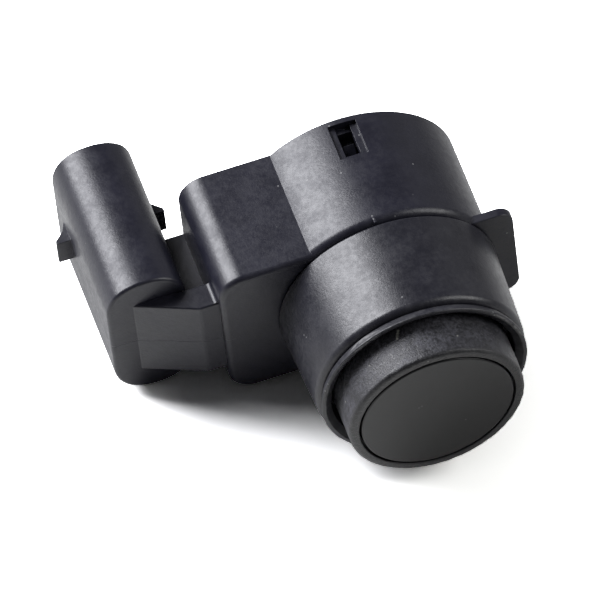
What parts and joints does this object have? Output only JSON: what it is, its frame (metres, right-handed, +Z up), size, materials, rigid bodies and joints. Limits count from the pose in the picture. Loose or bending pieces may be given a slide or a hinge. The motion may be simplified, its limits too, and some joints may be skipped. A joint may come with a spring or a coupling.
{
  "type": "parking sensor",
  "caption": "Ultrasonic parking sensor: round sensing face in a rubber ring and sleeve, stepped barrel housing with a side box and a rear-facing latched connector socket.",
  "frame": {"origin": "centre of the membrane's outer face, on the barrel's axis", "axes": "-Y out of the sensing face, +Y along the barrel to the rear, -X towards the connector, +Z up; the sensor lies rolled 7.2 degrees about Y, as barrel and connector rest on a level bench"},
  "size_m": [0.0418, 0.036, 0.0222],
  "materials": {
    "black_plastic": "fine spark-eroded moulding texture, satin sheen",
    "membrane_paint": "satin dark grey coating",
    "decoupling_rubber": "dull black silicone rubber, lightly scuffed",
    "seal_silicone": "smooth silicone",
    "piezo_ceramic": "fired ceramic with silvered faces",
    "felt": "pressed felt",
    "tinned_contact": "bright tinned",
    "circuit_board": "solder mask over glass laminate",
    "chip_compound": "moulding compound",
    "capacitor_ceramic": "fired ceramic",
    "aluminium_can": "drawn can",
    "ferrite": "sintered ferrite",
    "copper_wire": "enamelled winding"
  },
  "bodies": {
    "root": {"housing": "black_plastic", "front_sleeve": "black_plastic", "retaining_ring": "black_plastic", "rear_cover": "black_plastic", "contact_holder": "black_plastic", "membrane_pot": "membrane_paint", "decoupling_ring": "decoupling_rubber", "sealing_ring": "seal_silicone", "pot_filling": "seal_silicone", "piezo_disc": "piezo_ceramic", "damping_felt": "felt", "signal_lead": "tinned_contact", "ground_lead": "tinned_contact", "signal_contact": "tinned_contact", "ground_contact": "tinned_contact", "terminal_1": "tinned_contact", "terminal_2": "tinned_contact", "terminal_3": "tinned_contact", "circuit_board": "circuit_board", "control_chip": "chip_compound", "protection_diode": "chip_compound", "resistor_1": "chip_compound", "resistor_2": "chip_compound", "resistor_3": "chip_compound", "ceramic_capacitor_1": "capacitor_ceramic", "ceramic_capacitor_2": "capacitor_ceramic", "ceramic_capacitor_3": "capacitor_ceramic", "smoothing_capacitor": "aluminium_can", "transformer_core": "ferrite", "transformer_winding": "copper_wire"}
  },
  "joints": []
}
